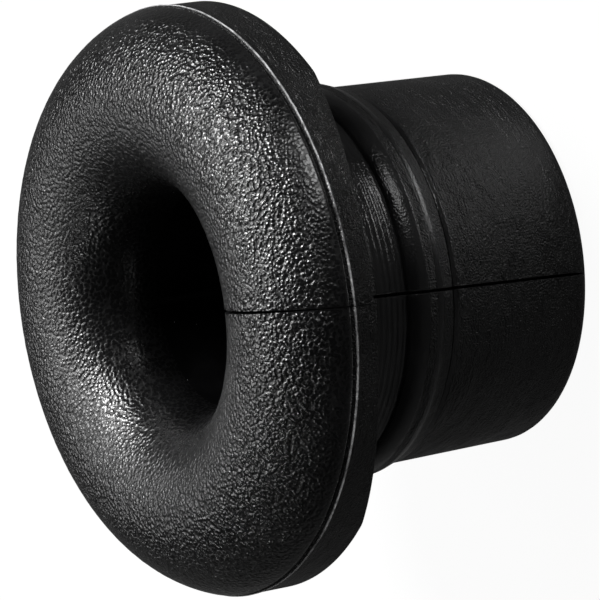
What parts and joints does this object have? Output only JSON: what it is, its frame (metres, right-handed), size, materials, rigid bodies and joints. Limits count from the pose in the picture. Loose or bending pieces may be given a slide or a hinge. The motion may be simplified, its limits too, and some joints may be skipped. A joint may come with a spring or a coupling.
{
  "type": "split cable grommet",
  "caption": "Split nylon cable grommet: a bell-mouthed round flange, a neck with a snap bead that holds it in a panel hole, and a drafted barrel with a smooth cable bore.",
  "frame": {"origin": "on the axis of the bore, in the plane where the back of the flange seats on the panel", "axes": "+Z along the bore, out of the panel towards the bell mouth; +X towards the slit"},
  "size_m": [0.03, 0.03, 0.0213],
  "materials": {
    "nylon": "black moulded nylon, coarse spark grain on the mouth, satin on the rim and barrel"
  },
  "bodies": {
    "root": {"grommet": "nylon"}
  },
  "joints": []
}
